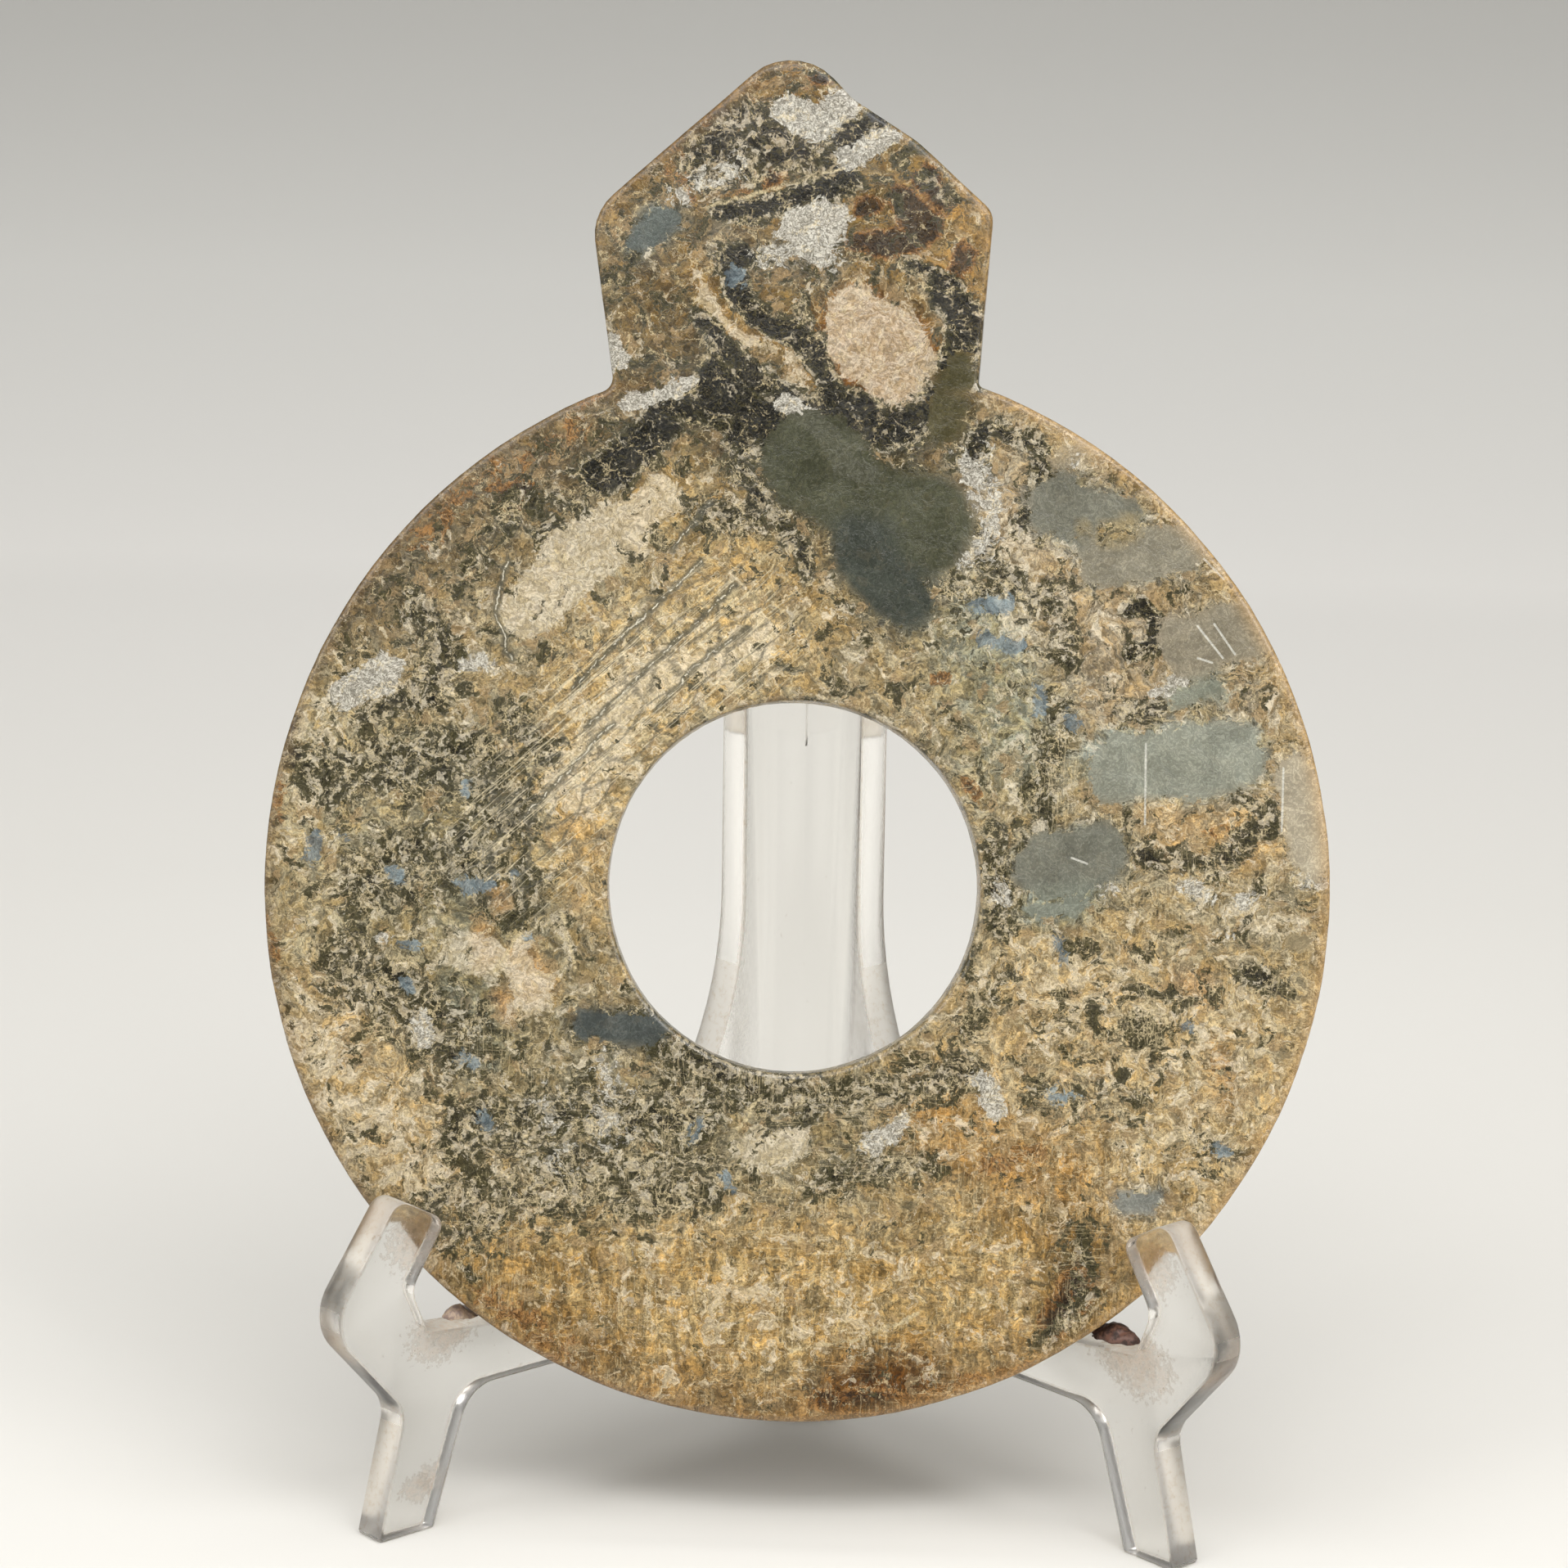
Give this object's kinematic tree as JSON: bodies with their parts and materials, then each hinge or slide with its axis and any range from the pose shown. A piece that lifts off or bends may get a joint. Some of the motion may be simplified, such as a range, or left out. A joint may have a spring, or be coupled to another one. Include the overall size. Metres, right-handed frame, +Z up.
{
  "type": "jade bi disc on a clear easel",
  "caption": "Mottled jade disc with a round hole and a peaked projection, leaning in a clear acrylic easel on museum wax.",
  "frame": {"origin": "middle of the whole part's footprint, on the surface that the easel's feet stand on", "axes": "+Z up, -Y the way the disc's front and the easel's hooks face, +X to the right seen from the front"},
  "size_m": [0.18, 0.0794, 0.2433],
  "materials": {
    "mottled_jade": "polished and waxy, with a fine cream vein network over green-black, tan, grey and golden-brown patches",
    "clear_acrylic": "see-through with flame-polished edges and a few smears of old residue",
    "museum_wax": "soft and slightly translucent, mauve-grey to dark brown"
  },
  "bodies": {
    "root": {"jade_disc": "mottled_jade", "easel_left_plate": "clear_acrylic", "easel_right_plate": "clear_acrylic", "wax_left": "museum_wax", "wax_right": "museum_wax"}
  },
  "joints": []
}
